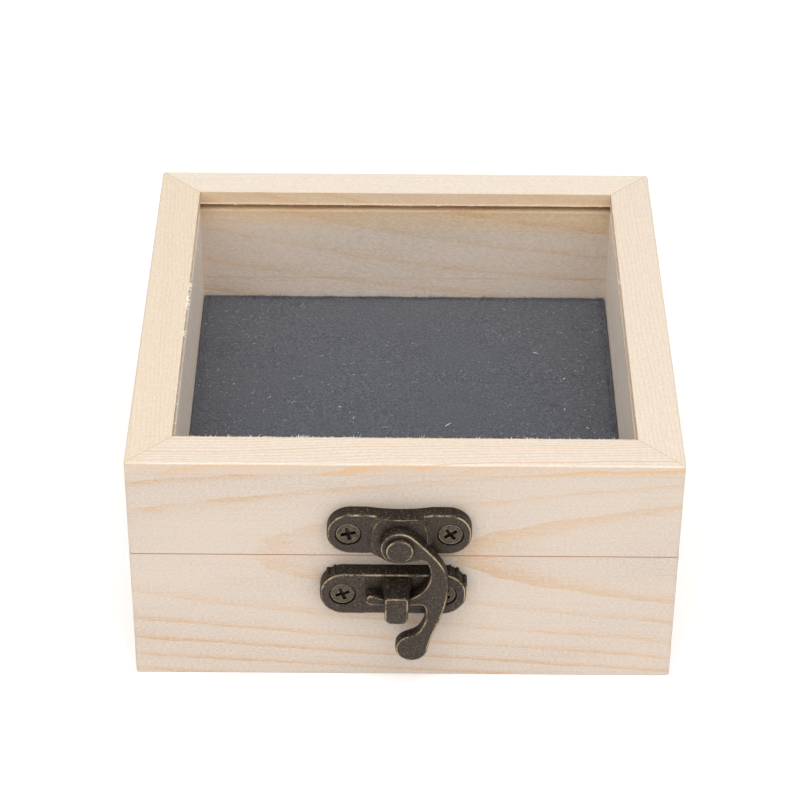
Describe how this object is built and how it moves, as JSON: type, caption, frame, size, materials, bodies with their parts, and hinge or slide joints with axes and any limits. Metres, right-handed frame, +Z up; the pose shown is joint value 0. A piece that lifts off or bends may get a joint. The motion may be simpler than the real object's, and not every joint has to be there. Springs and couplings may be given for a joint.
{
  "type": "coin display box",
  "caption": "Square pine display box for coins: glass-topped lid hinged at the back, foam pad inside, swing-hook latch in front.",
  "frame": {"origin": "middle of the box's underside, where the two middle planes of the square box meet the surface it stands on", "axes": "+X to the right seen from the latch side, +Y from the latch to the hinges, +Z up"},
  "size_m": [0.102, 0.1141, 0.0502],
  "materials": {
    "pine_walls": "bare sanded pine, pale with fine orange-tan growth lines",
    "pine_trim": "bare sanded pine strip, straight grained",
    "pine_panel": "bare sanded pine panel",
    "clear_glass": "clear float glass",
    "charcoal_foam": "charcoal fine-celled foam with a felted surface",
    "latch_bronze": "antique bronze plate, dark in the hollows and rubbed brassy on the edges",
    "bronze_screws": "antique bronze plated screws",
    "hinge_bronze": "antique bronze plate"
  },
  "bodies": {
    "base": {"base_front_wall": "pine_walls", "base_right_wall": "pine_walls", "base_back_wall": "pine_walls", "base_left_wall": "pine_walls", "bottom_panel": "pine_panel", "foam_pad": "charcoal_foam", "catch_plate": "latch_bronze", "catch_plate_screws": "bronze_screws", "base_hinge_leaf_left": "hinge_bronze", "base_hinge_leaf_right": "hinge_bronze", "hinge_pin_left": "hinge_bronze", "hinge_pin_right": "hinge_bronze", "base_hinge_screws": "bronze_screws"},
    "lid": {"lid_front_wall": "pine_walls", "lid_right_wall": "pine_walls", "lid_back_wall": "pine_walls", "lid_left_wall": "pine_walls", "top_trim_front": "pine_trim", "top_trim_right": "pine_trim", "top_trim_back": "pine_trim", "top_trim_left": "pine_trim", "glass_pane": "clear_glass", "latch_plate": "latch_bronze", "latch_plate_screws": "bronze_screws", "latch_rivet": "latch_bronze", "lid_hinge_leaf_left": "hinge_bronze", "lid_hinge_leaf_right": "hinge_bronze", "lid_hinge_screws": "bronze_screws"},
    "hook": {"latch_hook": "latch_bronze"}
  },
  "joints": [
    {"name": "lid_hinge", "type": "hinge", "parent": "base", "child": "lid", "pos_m": [0, 0.0527, 0.02915], "axis": [-1, 0, 0], "range_deg": [0, 180]},
    {"name": "hook_pivot", "type": "hinge", "parent": "lid", "child": "hook", "pos_m": [-0.00083, -0.0555, 0.03496], "axis": [0, -1, 0], "range_deg": [0, 135]}
  ]
}
